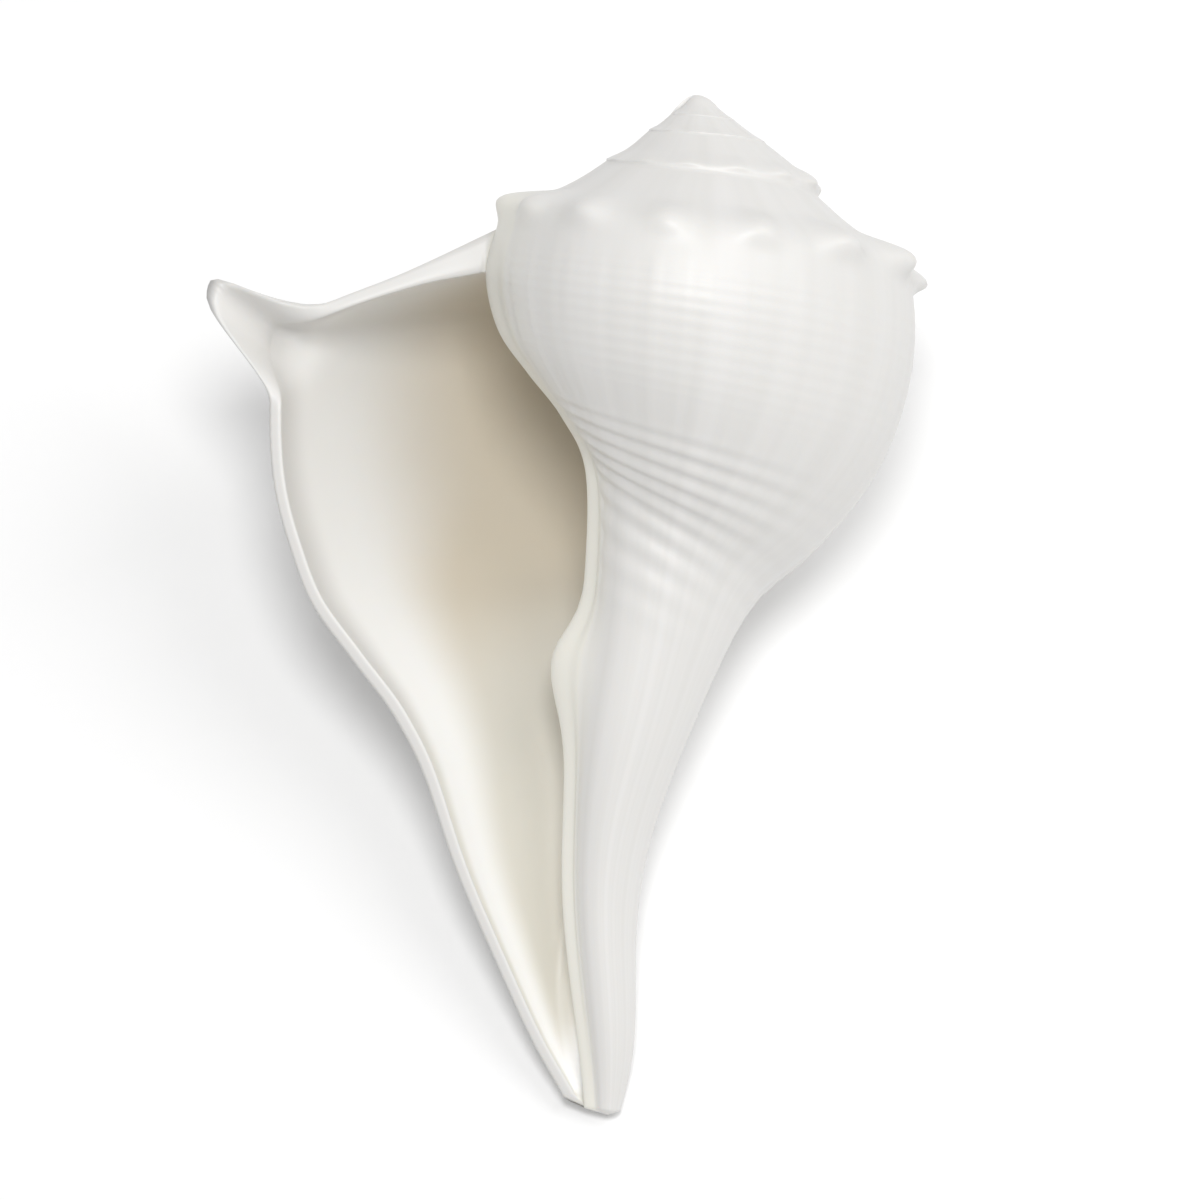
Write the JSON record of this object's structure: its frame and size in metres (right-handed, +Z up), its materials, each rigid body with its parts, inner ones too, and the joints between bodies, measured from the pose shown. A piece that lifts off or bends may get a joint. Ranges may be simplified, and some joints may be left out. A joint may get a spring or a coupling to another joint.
{
  "type": "conch shell",
  "caption": "White left-handed conch shell with a low knobbed spire, a flared mouth with a horn at the shoulder, and a long open canal.",
  "frame": {"origin": "centre of the bounding box in X and Y, on the surface that the shell lies on", "axes": "+Y along the shell from the canal tip to the apex, +Z up out of the mouth, +X to the right as the mouth is looked into"},
  "size_m": [0.1418, 0.1912, 0.1035],
  "materials": {
    "shell": "smooth porcelain-like gloss"
  },
  "bodies": {
    "root": {"shell": "shell"}
  },
  "joints": []
}
